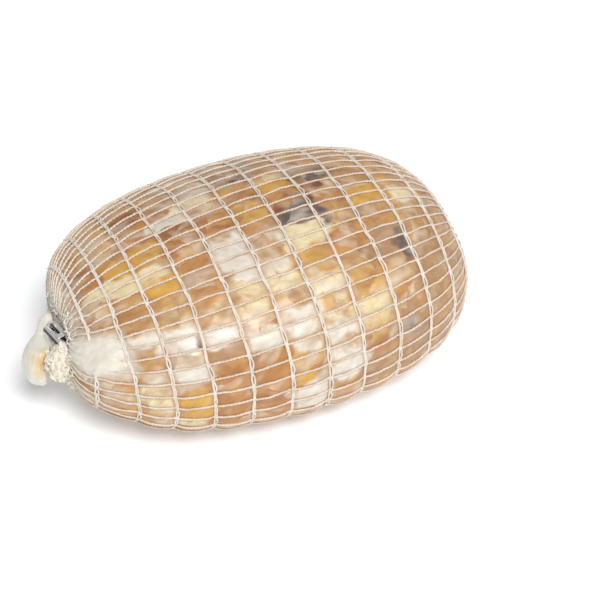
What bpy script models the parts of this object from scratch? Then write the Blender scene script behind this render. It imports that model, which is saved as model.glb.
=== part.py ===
"""A stuffed chicken roast: raw marbled meat in a clear casing, held by a knitted elastic net.

Metres, +Z up, +X from the near clipped end to the far one. The roast lies on its flattened underside.
"""

import math

import bmesh
import bpy
import numpy as np
from mathutils import Matrix, Vector

MM = 0.001

# Roast: half length, the girth that its profile is worked out from, and its bluntness at the ends
HALF_LENGTH = 99.4 * MM
GIRTH_RADIUS = 78.6 * MM
END_BLUNTNESS = 0.80
NEAR_END_TAPER = -0.020
END_FULLNESS = 0.061

# Cross-section for a half width of 1: a round back over a squarer, flatter belly
BACK_HEIGHT = 0.655
BELLY_DEPTH = 0.500
BELLY_SQUARENESS = 3.1
AXIS_HEIGHT = 38.0 * MM

# Net: hoops across the roast, threads along it, and the size of the knitted cord
THREADS = 50
HOOPS = 14
FIRST_HOOP = 24.2 * MM
HOOP_PITCH = 17.1 * MM
HOOP_STRETCH = 0.0093 * MM
THREAD_START = 46.76
THREAD_DRIFT = -0.47
HOOP_WIDTH = 2.4 * MM
THREAD_WIDTH = 1.1 * MM
CORD_HEIGHT = 1.5 * MM
NET_GAP = 0.45 * MM

# Meat that swells between the cords
PILLOW_RISE = 0.8 * MM
FULL_CELL = 7.0 * MM

# Necks where the casing is gathered into its clips: x, y, height and the oval's half axes
NEAR_NECK = Vector((-89.5 * MM, -4.4 * MM, 42.4 * MM))
FAR_NECK = Vector((89.5 * MM, 0.0, 38.0 * MM))
NECK_HALF_WIDTH = 8.0 * MM
NECK_HALF_HEIGHT = 4.0 * MM
THROAT_HALF_WIDTH = 4.6 * MM
THROAT_HALF_HEIGHT = 1.15 * MM
NEAR_THROAT_LENGTH = 15.1 * MM
FAR_THROAT_LENGTH = 13.2 * MM
END_DRAWN_IN = 0.20

# Clips: round wire bent one and a half turns about the throat
CLIP_WIRE = 2.9 * MM
CLIP_HALF_STRAIGHT = 5.4 * MM
CLIP_BEND = 3.0 * MM
CLIP_LEG_OFFSET = 2.6 * MM
CLIP_SIDES = 6
NEAR_CLIP = Vector((-99.8 * MM, -4.4 * MM, 42.4 * MM))
FAR_CLIP = Vector((96.6 * MM, 0.0, 38.0 * MM))
NEAR_CLIP_TURN = math.radians(12)

RIM_SHARE = 0.12
SMALL_STEP = 0.5 * MM


def clear_scene():
    for item in list(bpy.data.objects):
        bpy.data.objects.remove(item, do_unlink=True)


def make_material(name, colour, roughness, metallic=0.0):
    material = bpy.data.materials.new(name)
    material.use_nodes = True
    shader = material.node_tree.nodes["Principled BSDF"]
    shader.inputs["Base Color"].default_value = (*colour, 1.0)
    shader.inputs["Roughness"].default_value = roughness
    shader.inputs["Metallic"].default_value = metallic
    return material


def add_object(name, shape, material, smooth_angle=None):
    """Turns a bmesh into an object with outward faces and its own material."""
    bmesh.ops.recalc_face_normals(shape, faces=shape.faces)
    mesh = bpy.data.meshes.new(name)
    shape.to_mesh(mesh)
    shape.free()
    mesh.materials.append(material)
    if smooth_angle is not None:
        mesh.shade_smooth()
        mesh.set_sharp_from_angle(angle=smooth_angle)
    item = bpy.data.objects.new(name, mesh)
    bpy.context.scene.collection.objects.link(item)
    return item


def signed_power(value, power):
    return np.sign(value) * np.abs(value) ** power


def even_steps(first, second, count):
    """Resamples a curve at equal steps of its own length, and gives that length too."""
    lengths = np.concatenate([[0.0], np.cumsum(np.hypot(np.diff(first), np.diff(second)))])
    steps = np.linspace(0.0, lengths[-1], count)
    return np.interp(steps, lengths, first), np.interp(steps, lengths, second), lengths[-1]


def section_curve():
    """The cross-section's outline for a half width of 1, from the top round by the -Y side."""
    angle = np.linspace(0.0, 2.0 * math.pi, 2001)
    across, upward = np.sin(angle), np.cos(angle)
    belly = 2.0 / BELLY_SQUARENESS
    side = np.where(upward >= 0, across, signed_power(across, belly))
    height = np.where(upward >= 0, BACK_HEIGHT * upward, BELLY_DEPTH * signed_power(upward, belly))
    return even_steps(side, height, 721)[:2]


def profile_curve():
    """The roast's half width along its length, from the near pole to the far one."""
    angle = np.linspace(0.0, math.pi, 2001)
    along = -HALF_LENGTH * np.cos(angle)
    swell = 1.0 + NEAR_END_TAPER * np.cos(angle) + END_FULLNESS * np.cos(2.0 * angle)
    radius = GIRTH_RADIUS * np.abs(np.sin(angle)) ** END_BLUNTNESS * swell
    return even_steps(along, radius, 1201)


SECTION_SIDE, SECTION_HEIGHT = section_curve()
PROFILE_ALONG, PROFILE_RADIUS, PROFILE_LENGTH = profile_curve()
SECTION_STEPS = np.linspace(0.0, 1.0, len(SECTION_SIDE))
PROFILE_STEPS = np.linspace(0.0, PROFILE_LENGTH, len(PROFILE_ALONG))


def hoop_arc(hoop):
    """How far along the profile a hoop lies; the net is stretched more towards the far end."""
    count = hoop - 1.0
    return FIRST_HOOP + HOOP_PITCH * hoop + HOOP_STRETCH * count**3


def thread_turn(thread, arc):
    """Where a thread lies round the section, from 0 to 1; the threads drift a little along the roast."""
    along = np.interp(arc, PROFILE_STEPS, PROFILE_ALONG)
    return ((thread + THREAD_START + THREAD_DRIFT * along / HALF_LENGTH) / THREADS) % 1.0


def round_surface(arc, turn):
    along = np.interp(arc, PROFILE_STEPS, PROFILE_ALONG)
    radius = np.interp(arc, PROFILE_STEPS, PROFILE_RADIUS)
    side = np.interp(turn % 1.0, SECTION_STEPS, SECTION_SIDE)
    height = np.interp(turn % 1.0, SECTION_STEPS, SECTION_HEIGHT)
    return Vector((along, -radius * side, AXIS_HEIGHT + radius * height))


def surface_normal(arc, turn):
    turn_step = 0.004
    lengthways = round_surface(arc + SMALL_STEP, turn) - round_surface(arc - SMALL_STEP, turn)
    around = round_surface(arc, turn + turn_step) - round_surface(arc, turn - turn_step)
    return around.cross(lengthways).normalized()


def lifted(arc, turn, lift):
    """A point at a height over the roast's skin, pressed flat where the roast lies on its belly."""
    point = round_surface(arc, turn) + surface_normal(arc, turn) * lift
    point.z = max(point.z, CORD_HEIGHT - lift)
    return point


def net_point(hoop, thread, lift=0.0):
    """A point of the net, or over it; the outermost hoops are drawn in towards the necks."""
    arc = hoop_arc(hoop)
    point = lifted(arc, thread_turn(thread, arc), lift)
    if hoop == 0:
        return point.lerp(NEAR_NECK, END_DRAWN_IN)
    if hoop == HOOPS - 1:
        return point.lerp(FAR_NECK, END_DRAWN_IN)
    return point


def cell_corners(hoop, thread):
    places = ((hoop, thread), (hoop, thread + 1), (hoop + 1, thread + 1), (hoop + 1, thread))
    return [net_point(*place) for place in places]


def cell_apex(hoop, thread):
    """The top of the meat that swells inside one cell of the net; narrow cells swell less."""
    if not is_swollen(hoop):
        return sum(cell_corners(hoop, thread), Vector()) / 4
    width = (net_point(hoop + 0.5, thread + 1) - net_point(hoop + 0.5, thread)).length
    return net_point(hoop + 0.5, thread + 0.5, PILLOW_RISE * min(1.0, width / FULL_CELL))


def is_swollen(hoop):
    """The first and the last row of cells are drawn tight and stay flat."""
    return 0 < hoop < HOOPS - 2


def oval_point(centre, turn, half_width, half_height):
    angle = 2.0 * math.pi * turn
    return centre + Vector((0.0, -half_width * math.sin(angle), half_height * math.cos(angle)))


def neck_loop(centre, hoop, half_width, half_height, offset=0.0):
    """A ring of points about a neck, one for each thread, in step with the threads at a hoop."""
    arc = hoop_arc(hoop)
    return [oval_point(centre, thread_turn(t + offset, arc), half_width, half_height) for t in range(THREADS)]


def add_loop(shape, points):
    return [shape.verts.new(p) for p in points]


def bridge(shape, first, second):
    count = len(first)
    for i in range(count):
        j = (i + 1) % count
        shape.faces.new((first[i], first[j], second[j], second[i]))


def cap(shape, loop):
    centre = sum((v.co for v in loop), Vector()) / len(loop)
    tip = shape.verts.new(centre)
    for i, vert in enumerate(loop):
        shape.faces.new((vert, loop[(i + 1) % len(loop)], tip))


def build_roast(material):
    """Meat and casing: a quilted body with a gathered throat at each end."""
    shape = bmesh.new()
    rows = [add_loop(shape, [net_point(h, t) for t in range(THREADS)]) for h in range(HOOPS)]
    for hoop in range(HOOPS - 1):
        for thread in range(THREADS):
            after = (thread + 1) % THREADS
            corners = (rows[hoop][thread], rows[hoop][after], rows[hoop + 1][after], rows[hoop + 1][thread])
            apex = shape.verts.new(cell_apex(hoop, thread))
            for i in range(4):
                shape.faces.new((corners[i], corners[(i + 1) % 4], apex))
    ends = (
        (0, rows[0], NEAR_NECK, -NEAR_THROAT_LENGTH),
        (HOOPS - 1, rows[-1], FAR_NECK, FAR_THROAT_LENGTH),
    )
    for hoop, outer, neck, throat in ends:
        shoulder = add_loop(shape, neck_loop(neck, hoop, NECK_HALF_WIDTH, NECK_HALF_HEIGHT))
        start = neck + Vector((math.copysign(1.6 * MM, throat), 0.0, 0.0))
        tip = neck + Vector((throat, 0.0, 0.0))
        gathered = add_loop(shape, neck_loop(start, hoop, THROAT_HALF_WIDTH, THROAT_HALF_HEIGHT)[::2])
        trimmed = add_loop(shape, neck_loop(tip, hoop, THROAT_HALF_WIDTH, THROAT_HALF_HEIGHT)[::2])
        bridge(shape, outer, shoulder)
        for i, vert in enumerate(gathered):
            beside = gathered[(i + 1) % len(gathered)]
            near, middle, far = shoulder[2 * i], shoulder[2 * i + 1], shoulder[(2 * i + 2) % THREADS]
            shape.faces.new((near, middle, vert))
            shape.faces.new((middle, far, beside, vert))
        bridge(shape, gathered, trimmed)
        cap(shape, trimmed)
    bmesh.ops.triangulate(shape, faces=[f for f in shape.faces if len(f.verts) > 3])
    return add_object("roast", shape, material)


def hole_corners(hoop, thread):
    """The four inner corners of a net cell's opening, clear of the meat below them."""
    corners = cell_corners(hoop, thread)
    normal = (corners[1] - corners[3]).cross(corners[2] - corners[0]).normalized()
    swell = max(0.0, (cell_apex(hoop, thread) - sum(corners, Vector()) / 4).dot(normal))
    height = (corners[3] - corners[0]).length
    points = []
    for corner, (right, up) in enumerate(((0, 0), (1, 0), (1, 1), (0, 1))):
        row = corners[0:2] if up == 0 else [corners[3], corners[2]]
        width = (row[1] - row[0]).length
        share_across = min(0.4, THREAD_WIDTH / 2 / width)
        share_along = HOOP_WIDTH / 2 / height
        across = 1 - share_across if right else share_across
        along = 1 - share_along if up else share_along
        low = corners[0].lerp(corners[1], across)
        high = corners[3].lerp(corners[2], across)
        clear = NET_GAP + swell * 2 * max(share_across, share_along)
        point = low.lerp(high, along) + normal * clear
        point.z = max(point.z, 0.4 * MM)
        points.append(point)
    return points


def sleeve_rim(neck, hoop):
    """The net's last edge, where it is drawn in round the neck, midway between the threads."""
    shoulder = neck_loop(neck, hoop, NECK_HALF_WIDTH, NECK_HALF_HEIGHT, 0.5)
    return [point.lerp(net_point(hoop, t + 0.5), RIM_SHARE) for t, point in enumerate(shoulder)]


def build_net(material):
    """The knitted net as one lattice of cords, with a gathered sleeve at each end."""
    shape = bmesh.new()
    ridges = [add_loop(shape, [net_point(h, t, CORD_HEIGHT) for t in range(THREADS)]) for h in range(HOOPS)]
    holes = [[add_loop(shape, hole_corners(h, t)) for t in range(THREADS)] for h in range(HOOPS - 1)]
    for hoop in range(HOOPS - 1):
        for thread in range(THREADS):
            after = (thread + 1) % THREADS
            hole = holes[hoop][thread]
            beside = holes[hoop][after]
            ring = (ridges[hoop][thread], ridges[hoop][after], ridges[hoop + 1][after], ridges[hoop + 1][thread])
            for i in range(4):
                j = (i + 1) % 4
                shape.faces.new((ring[i], ring[j], hole[j], hole[i]))
            shape.faces.new((hole[1], beside[0], beside[3], hole[2]))
            if hoop > 0:
                below = holes[hoop - 1][thread]
                below_beside = holes[hoop - 1][after]
                shape.faces.new((below[3], below[2], hole[1], hole[0]))
                shape.faces.new((below[2], below_beside[3], beside[0], hole[1]))
    near_edge = [(hole[0], hole[1]) for hole in holes[0]]
    far_edge = [(hole[3], hole[2]) for hole in holes[-1]]
    ends = (
        (0, ridges[0], near_edge, NEAR_NECK, -1.0),
        (HOOPS - 1, ridges[-1], far_edge, FAR_NECK, 1.0),
    )
    for hoop, outer, edge, neck, outward in ends:
        inner = add_loop(shape, [net_point(hoop, t, 1.4 * NET_GAP) for t in range(THREADS)])
        rim = sleeve_rim(neck, hoop)
        inner_rim = add_loop(shape, [p + Vector((outward * 2 * NET_GAP, 0.0, 0.0)) for p in rim])
        outer_rim = add_loop(shape, [p + Vector((outward * CORD_HEIGHT * 1.3, 0.0, 0.0)) for p in rim])
        for thread in range(THREADS):
            before = (thread - 1) % THREADS
            after = (thread + 1) % THREADS
            left, right = edge[thread]
            shape.faces.new((left, right, inner[after], inner[thread]))
            shape.faces.new((edge[before][1], left, inner[thread]))
            shape.faces.new((inner[thread], inner[after], inner_rim[thread]))
            shape.faces.new((inner[thread], inner_rim[thread], inner_rim[before]))
            shape.faces.new((outer[thread], outer[after], outer_rim[thread]))
            shape.faces.new((outer[thread], outer_rim[thread], outer_rim[before]))
        bridge(shape, inner_rim, outer_rim)
    bmesh.ops.triangulate(shape, faces=[f for f in shape.faces if len(f.verts) > 3])
    return add_object("net", shape, material)


def frames_along(path):
    """A side and an up direction at each point of a path, turned as little as possible between points."""
    tangents = []
    for i, point in enumerate(path):
        before = path[max(i - 1, 0)]
        after = path[min(i + 1, len(path) - 1)]
        tangents.append((after - before).normalized())
    side = tangents[0].orthogonal().normalized()
    frames = []
    for tangent in tangents:
        side = (side - tangent * side.dot(tangent)).normalized()
        frames.append((side, tangent.cross(side)))
    return frames


def clip_path(centre, turn):
    """The clip's wire: a leg over the throat, round under it, and a second leg beside the first."""
    a, b, p = CLIP_HALF_STRAIGHT, CLIP_BEND, CLIP_LEG_OFFSET
    steps = 5
    path = [Vector((-p, a, b))]
    for i in range(steps + 1):
        angle = math.pi * i / steps
        path.append(Vector((-p, -a - b * math.sin(angle), b * math.cos(angle))))
    for i in range(steps + 1):
        angle = math.pi * i / steps
        path.append(Vector((p, a + b * math.sin(angle), -b * math.cos(angle))))
    path.append(Vector((p, -a, b)))
    turned = Matrix.Rotation(turn, 3, "Z")
    return [centre + turned @ point for point in path]


def build_clip(name, centre, turn, material):
    shape = bmesh.new()
    path = clip_path(centre, turn)
    loops = []
    for point, (side, up) in zip(path, frames_along(path)):
        ring = []
        for i in range(CLIP_SIDES):
            angle = 2.0 * math.pi * i / CLIP_SIDES
            ring.append(point + (side * math.cos(angle) + up * math.sin(angle)) * CLIP_WIRE / 2)
        loops.append(add_loop(shape, ring))
    for first, second in zip(loops, loops[1:]):
        bridge(shape, first, second)
    cap(shape, loops[0])
    cap(shape, loops[-1])
    bmesh.ops.triangulate(shape, faces=[f for f in shape.faces if len(f.verts) > 3])
    return add_object(name, shape, material, smooth_angle=math.radians(50))


def smooth_path(points, count):
    """Points along a smooth curve through a few chosen ones; each is a position and its half sizes."""
    values = np.array(points)
    knots = np.arange(len(points))
    places = np.linspace(0.0, len(points) - 1.0, count)
    slopes = np.gradient(values, axis=0)
    result = []
    for place in places:
        i = min(int(place), len(points) - 2)
        f = place - knots[i]
        start, end = values[i], values[i + 1]
        h00, h10 = 2 * f**3 - 3 * f**2 + 1, f**3 - 2 * f**2 + f
        h01, h11 = -2 * f**3 + 3 * f**2, f**3 - f**2
        result.append(h00 * start + h10 * slopes[i] + h01 * end + h11 * slopes[i + 1])
    return result


def build_folded_end(name, spine, rows, sides, lobes, ripple, material):
    """A soft gathered end: ovals along a spine (x, y, z, half thickness in X, half width in Y, in mm)."""
    shape = bmesh.new()
    loops = []
    for x, y, z, thick, wide in smooth_path(spine, rows):
        ring = []
        for i in range(sides):
            angle = 2.0 * math.pi * i / sides
            swell = 1.0 + ripple * math.cos(lobes * angle + 0.21 * z)
            ring.append(Vector((x + thick * swell * math.cos(angle), y + wide * swell * math.sin(angle), z)) * MM)
        loops.append(add_loop(shape, ring))
    for first, second in zip(loops, loops[1:]):
        bridge(shape, first, second)
    cap(shape, loops[0])
    cap(shape, loops[-1])
    bmesh.ops.triangulate(shape, faces=[f for f in shape.faces if len(f.verts) > 3])
    return add_object(name, shape, material, smooth_angle=math.radians(60))


CASING_TAIL_SPINE = [
    (-104.2, 0.2, 54.4, 1.0, 1.0),
    (-104.4, 0.0, 50.6, 2.9, 3.2),
    (-107.0, -1.6, 47.2, 2.0, 3.2),
    (-109.2, -3.4, 41.6, 3.6, 5.6),
    (-110.2, -4.4, 33.4, 6.7, 8.2),
    (-110.4, -4.6, 24.6, 6.8, 7.9),
    (-110.0, -4.6, 18.6, 2.4, 2.8),
]

NET_TAIL_SPINE = [
    (-100.6, -11.0, 37.3, 1.6, 4.2),
    (-100.8, -11.6, 34.8, 2.3, 6.8),
    (-100.9, -12.0, 30.0, 2.5, 7.5),
    (-100.6, -12.0, 25.0, 2.3, 6.4),
    (-100.2, -11.8, 21.8, 1.2, 3.4),
]


def base_on_origin(items):
    """Shifts every piece so that the origin is under the middle of the whole, on the surface it lies on."""
    low = Vector((math.inf,) * 3)
    high = Vector((-math.inf,) * 3)
    for item in items:
        for vert in item.data.vertices:
            low = Vector(map(min, low, vert.co))
            high = Vector(map(max, high, vert.co))
    shift = Vector((-(low.x + high.x) / 2, -(low.y + high.y) / 2, -low.z))
    for item in items:
        item.data.transform(Matrix.Translation(shift))


def main():
    clear_scene()
    meat = make_material("marbled raw chicken in casing", (0.56, 0.34, 0.17), 0.32)
    cord = make_material("cream knitted elastic", (0.84, 0.76, 0.62), 0.80)
    wire = make_material("aluminium clip wire", (0.72, 0.72, 0.74), 0.25, metallic=1.0)
    film = make_material("milky gathered casing", (0.82, 0.79, 0.68), 0.35)
    frill = make_material("gathered net end", (0.85, 0.80, 0.66), 0.85)
    pieces = [
        build_roast(meat),
        build_net(cord),
        build_clip("near_clip", NEAR_CLIP, NEAR_CLIP_TURN, wire),
        build_clip("far_clip", FAR_CLIP, 0.0, wire.copy()),
        build_folded_end("casing_tail", CASING_TAIL_SPINE, 11, 12, 3, 0.04, film),
        build_folded_end("net_tail", NET_TAIL_SPINE, 8, 16, 8, 0.14, frill),
    ]
    base_on_origin(pieces)


main()
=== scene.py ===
"""A rolled and stuffed raw chicken roast: a clear casing, a knitted elastic net and two wire clips.

Metres, +Z up, +X along the roast from the near clipped end to the far one.
"""

import math
from functools import partial

import bmesh
import bpy
import numpy as np
from mathutils import Matrix, Vector, noise


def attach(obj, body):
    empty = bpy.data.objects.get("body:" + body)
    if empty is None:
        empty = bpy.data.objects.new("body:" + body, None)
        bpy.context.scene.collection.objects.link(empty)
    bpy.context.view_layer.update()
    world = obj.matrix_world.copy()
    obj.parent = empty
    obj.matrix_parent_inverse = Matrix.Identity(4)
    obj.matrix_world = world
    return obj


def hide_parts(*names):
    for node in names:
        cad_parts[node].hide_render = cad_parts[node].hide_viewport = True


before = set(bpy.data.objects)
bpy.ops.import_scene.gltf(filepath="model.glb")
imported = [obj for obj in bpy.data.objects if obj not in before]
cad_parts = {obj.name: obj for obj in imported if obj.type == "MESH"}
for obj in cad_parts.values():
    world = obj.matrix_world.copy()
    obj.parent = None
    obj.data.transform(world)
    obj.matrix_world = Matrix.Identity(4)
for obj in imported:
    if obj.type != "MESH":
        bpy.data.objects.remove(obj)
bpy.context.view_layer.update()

# The roast. Boned chicken, skin side and breast by turns, is rolled round its stuffing and pushed
# into a clear film casing. The net cuts grooves into it, and the meat swells up in every cell
# between them. At both ends the casing is pleated into a narrow throat.

MM = 0.001
BODY_SHIFT = 7.31 * MM
HALF_LENGTH = 99.4 * MM
GIRTH_RADIUS = 78.6 * MM
END_BLUNTNESS = 0.80
NEAR_END_TAPER = -0.020
END_FULLNESS = 0.061
BACK_HEIGHT = 0.655
BELLY_DEPTH = 0.500
BELLY_SQUARENESS = 3.1
AXIS_HEIGHT = 38.0 * MM
THREADS = 50
HOOPS = 14
FIRST_HOOP = 24.2 * MM
HOOP_PITCH = 17.1 * MM
HOOP_STRETCH = 0.0093 * MM
THREAD_START = 46.76
THREAD_DRIFT = -0.47
NEAR_NECK = (BODY_SHIFT - 93.2 * MM, -4.4 * MM, 42.4 * MM)
FAR_NECK = (BODY_SHIFT + 89.5 * MM, 0.0, 38.0 * MM)
NECK_HALF_WIDTH = 7.2 * MM
NECK_HALF_HEIGHT = 4.0 * MM
THROAT_HALF_WIDTH = 4.6 * MM
THROAT_HALF_HEIGHT = 1.15 * MM
NEAR_THROAT_LENGTH = 11.4 * MM
FAR_THROAT_LENGTH = 13.2 * MM
THROAT_START = 0.12
END_DRAWN_IN = 0.20
GROOVE_DEPTH = 0.5 * MM
SWELL_ALONG = 0.6 * MM
SWELL_ACROSS = 0.35 * MM
CELL_BLUNTNESS = (0.75, 0.65)
LABELS_A_HOOP = 64.0
FLAT_SOFTNESS = 0.8 * MM
SAG = 2.7
MUSCLE_LUMPS = 0.5 * MM
END_PUFF = 4.6 * MM
FAR_PUFF = 0.3
FILM_FOLD = 1.1 * MM
FILM_FOLD_AT = (0.7, 11.5)
FILM_FOLD_REACH = (1.2, 1.9)
PLEAT_HEIGHT = 0.9 * MM
ROWS_A_HOOP = 12
COLUMNS_A_THREAD = 8
ROAST_ROWS = (-23, 179)
FLATTEST = 0.6 * MM


def signed_power(value, power):
    return np.sign(value) * np.abs(value) ** power


def even_steps(first, second, count):
    """Resamples a curve at equal steps of its own length."""
    lengths = np.concatenate([[0.0], np.cumsum(np.hypot(np.diff(first), np.diff(second)))])
    steps = np.linspace(0.0, lengths[-1], count)
    return np.interp(steps, lengths, first), np.interp(steps, lengths, second)


def new_object(name, data):
    thing = bpy.data.objects.new(name, data)
    bpy.context.scene.collection.objects.link(thing)
    return thing


def poly_curve(name, points):
    """A curve of straight stretches from point to point."""
    data = bpy.data.curves.new(name, "CURVE")
    data.dimensions = "3D"
    spline = data.splines.new("POLY")
    spline.points.add(len(points) - 1)
    spline.points.foreach_set("co", [c for point in points for c in (*point, 1.0)])
    return new_object(name, data)


# The roast's cross section and its radius from end to end, which the node trees measure
turns = np.linspace(0.0, 2.0 * math.pi, 2001)
across, upward = np.sin(turns), np.cos(turns)
belly = 2.0 / BELLY_SQUARENESS
section_side = np.where(upward >= 0, across, signed_power(across, belly))
section_height = np.where(upward >= 0, BACK_HEIGHT * upward, BELLY_DEPTH * signed_power(upward, belly))
section_side, section_height = even_steps(section_side, section_height, 721)
section_guide = poly_curve("section guide", [(0.0, -s, h) for s, h in zip(section_side, section_height)])

turns = np.linspace(0.0, math.pi, 2001)
swell = 1.0 + NEAR_END_TAPER * np.cos(turns) + END_FULLNESS * np.cos(2.0 * turns)
profile_radius = GIRTH_RADIUS * np.abs(np.sin(turns)) ** END_BLUNTNESS * swell
profile_along, profile_radius = even_steps(-HALF_LENGTH * np.cos(turns), profile_radius, 1201)
profile_guide = poly_curve("profile guide", [(a, 0.0, r) for a, r in zip(profile_along, profile_radius)])

NODE_FAMILIES = ("GeometryNode", "ShaderNode", "FunctionNode", "")
MAIN_SETTINGS = ("operation", "interpolation_type", "mode", "data_type")


def feed(node, *values, **named):
    """Fills the inputs that a node uses, in their order or by name, from values, sockets or nodes."""
    sockets = [socket for socket in node.inputs if socket.enabled]
    by_name = {socket.name.replace(" ", "_"): socket for socket in reversed(sockets)}
    for socket, value in [*zip(sockets, values), *((by_name[name], value) for name, value in named.items())]:
        if isinstance(value, bpy.types.Node):
            value = next(output for output in value.outputs if output.enabled)
        if isinstance(value, bpy.types.NodeSocket):
            node.id_data.links.new(value, socket)
        else:
            socket.default_value = value


def add_node(tree, kind, *values, **settings):
    """Adds a node. Its main setting follows its kind, and the values go to its inputs in their order.
    Settings with a capital letter are inputs too, by name, and the others are its properties."""
    kind, _, main = kind.partition(" ")
    family = next(family for family in NODE_FAMILIES if hasattr(bpy.types, family + kind))
    node = tree.nodes.new(family + kind)
    if main:
        setattr(node, next(setting for setting in MAIN_SETTINGS if hasattr(node, setting)), main)
    for name, value in settings.items():
        if name[0].islower():
            setattr(node, name, value)
    feed(node, *values, **{name: value for name, value in settings.items() if name[0].isupper()})
    return node


def new_tree(name, inputs, outputs=None):
    """A geometry node tree, the function that adds its nodes, and the sockets of its named inputs."""
    tree = bpy.data.node_groups.new(name, "GeometryNodeTree")
    for in_out, sockets in (("INPUT", inputs), ("OUTPUT", outputs or {"Geometry": "Geometry"})):
        for label, kind in sockets.items():
            tree.interface.new_socket(label, in_out=in_out, socket_type="NodeSocket" + kind)
    return tree, partial(add_node, tree), tree.nodes.new("NodeGroupInput").outputs


def skin_tree():
    """Where a hoop and a thread cross on the roast, and the way out from there."""
    tree, add, given = new_tree("point on the roast", {"Hoop": "Float", "Thread": "Float"},
                                {"Position": "Vector", "Normal": "Vector"})
    hoop = add("Clamp", given["Hoop"], 0.0, HOOPS - 1.0)
    count = add("Math SUBTRACT", hoop, 1.0)
    cube = add("Math MULTIPLY", add("Math MULTIPLY", count, count), count)
    even = add("Math MULTIPLY_ADD", hoop, HOOP_PITCH, FIRST_HOOP)
    arc = add("Math MULTIPLY_ADD", cube, HOOP_STRETCH, even)
    guide = add("ObjectInfo", profile_guide)
    profile = add("SampleCurve LENGTH", guide.outputs["Geometry"], Length=arc)
    place = add("SeparateXYZ", profile.outputs["Position"]).outputs
    slope = add("SeparateXYZ", profile.outputs["Tangent"]).outputs
    started = add("Math ADD", given["Thread"], THREAD_START)
    drifted = add("Math MULTIPLY_ADD", place[0], THREAD_DRIFT / HALF_LENGTH, started)
    turn = add("Math FRACT", add("Math DIVIDE", drifted, THREADS))
    guide = add("ObjectInfo", section_guide)
    section = add("SampleCurve FACTOR", guide.outputs["Geometry"], Factor=turn)
    outline, around = section.outputs["Position"], section.outputs["Tangent"]
    widened = add("VectorMath SCALE", outline, place[2])
    shifted = add("VectorMath ADD", add("CombineXYZ", place[0]), (BODY_SHIFT, 0.0, AXIS_HEIGHT))
    body = add("VectorMath ADD", widened, shifted)
    widening = add("VectorMath SCALE", outline, slope[2])
    along = add("VectorMath ADD", widening, add("CombineXYZ", slope[0]))
    normal = add("VectorMath NORMALIZE", add("VectorMath CROSS_PRODUCT", around, along))

    # Past the last hoops the skin is gathered: 1 at the last hoop, 2 at the neck, 3 at the throat's tip
    near = add("Math SUBTRACT", 1.0, given["Hoop"])
    gather = add("Math MAXIMUM", near, add("Math SUBTRACT", given["Hoop"], HOOPS - 2.0))
    is_far = add("Math GREATER_THAN", given["Hoop"], HOOPS / 2.0)
    first = add("MapRange", gather)
    second = add("MapRange", gather, 1.0, 2.0)
    third = add("MapRange", gather, 2.0, 3.0)
    drawn = add("Math POWER", first, 2.0)
    rest = add("Math MULTIPLY", add("Math ADD", second, 1.0), second)
    eased = add("Math MULTIPLY", rest, (1.0 - END_DRAWN_IN) / 2.0)
    pulled = add("Math MULTIPLY_ADD", drawn, END_DRAWN_IN, eased)
    angle = add("Math MULTIPLY", turn, 2.0 * math.pi)
    width = add("MapRange", third, 0.0, THROAT_START, -NECK_HALF_WIDTH, -THROAT_HALF_WIDTH)
    height = add("MapRange", third, 0.0, THROAT_START, NECK_HALF_HEIGHT, THROAT_HALF_HEIGHT)
    sine = add("Math SINE", angle)
    cosine = add("Math COSINE", angle)
    aside = add("Math MULTIPLY", sine, width)
    up = add("Math MULTIPLY", cosine, height)
    throat = add("Mix", is_far, -NEAR_THROAT_LENGTH, FAR_THROAT_LENGTH)
    oval = add("CombineXYZ", add("Math MULTIPLY", third, throat), aside, up)
    spread = add("VectorMath SCALE", oval, second)
    target = add("VectorMath ADD", add("Mix VECTOR", is_far, NEAR_NECK, FAR_NECK), spread)
    position = add("Mix VECTOR", pulled, body, target)
    # Between the third hoop and the neck the end hangs out full, most of all low in front
    both = add("MapRange", gather, -0.9, 2.0, 0.0, 2.0)
    hump = add("Math MULTIPLY", both, add("Math SUBTRACT", 2.0, both))
    puff = add("Math POWER", hump, 2.0)
    downwards = add("Math MULTIPLY_ADD", cosine, -0.6, add("Math MULTIPLY", sine, 0.8))
    lower = add("Math MULTIPLY", puff, add("MapRange SMOOTHSTEP", downwards, 0.0, 0.95))
    push = add("Math MULTIPLY", lower, add("Mix", is_far, -END_PUFF, END_PUFF * FAR_PUFF))
    rounded = add("VectorMath ADD", position, add("CombineXYZ", push))
    add("NodeGroupOutput", rounded, normal)
    return tree


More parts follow.
